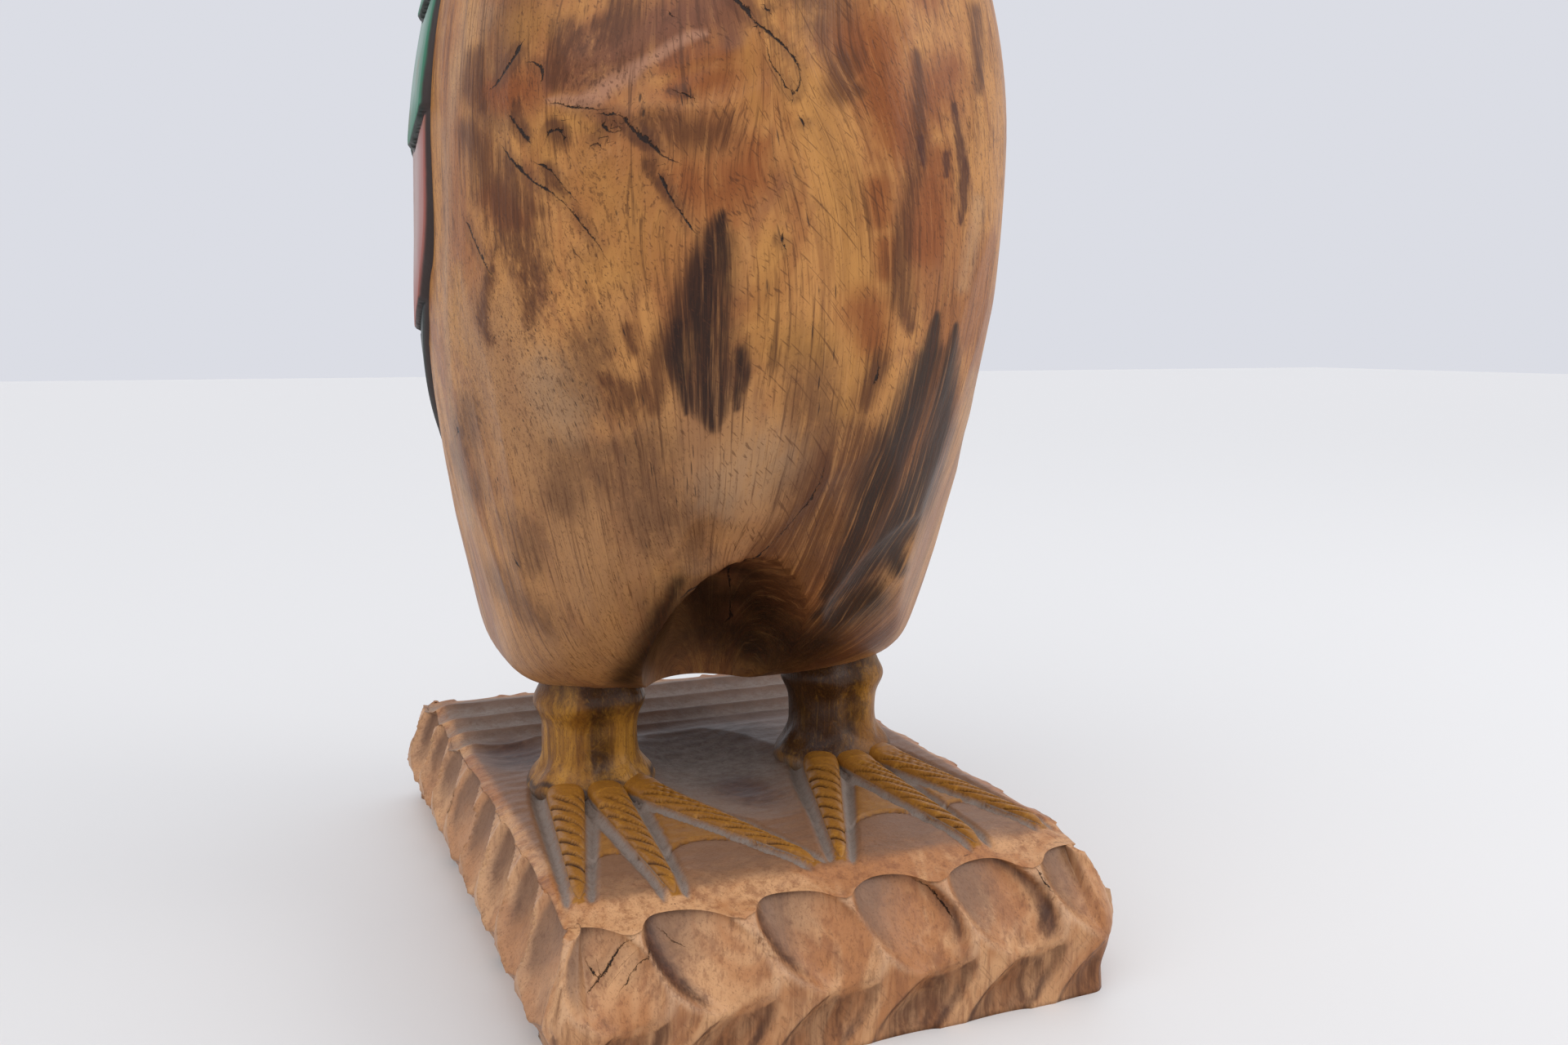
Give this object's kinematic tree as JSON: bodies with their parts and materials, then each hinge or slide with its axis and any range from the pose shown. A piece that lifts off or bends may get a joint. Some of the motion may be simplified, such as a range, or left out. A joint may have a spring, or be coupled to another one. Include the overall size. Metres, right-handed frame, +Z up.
{
  "type": "carved wooden swan sculpture",
  "caption": "Upright folk-carved wooden swan with folded painted wings and webbed feet on a gouge-cut plinth.",
  "frame": {"origin": "centre of the plinth's underside, where the sculpture stands", "axes": "+Z up the height of the bird, -Y the way the bird faces, +X its left"},
  "size_m": [0.264, 0.3986, 0.8335],
  "materials": {
    "waxed_wood": "waxed honey-brown wood with a satin sheen, painted wings and ochre-stained feet"
  },
  "bodies": {
    "root": {"carved_swan": "waxed_wood"}
  },
  "joints": []
}
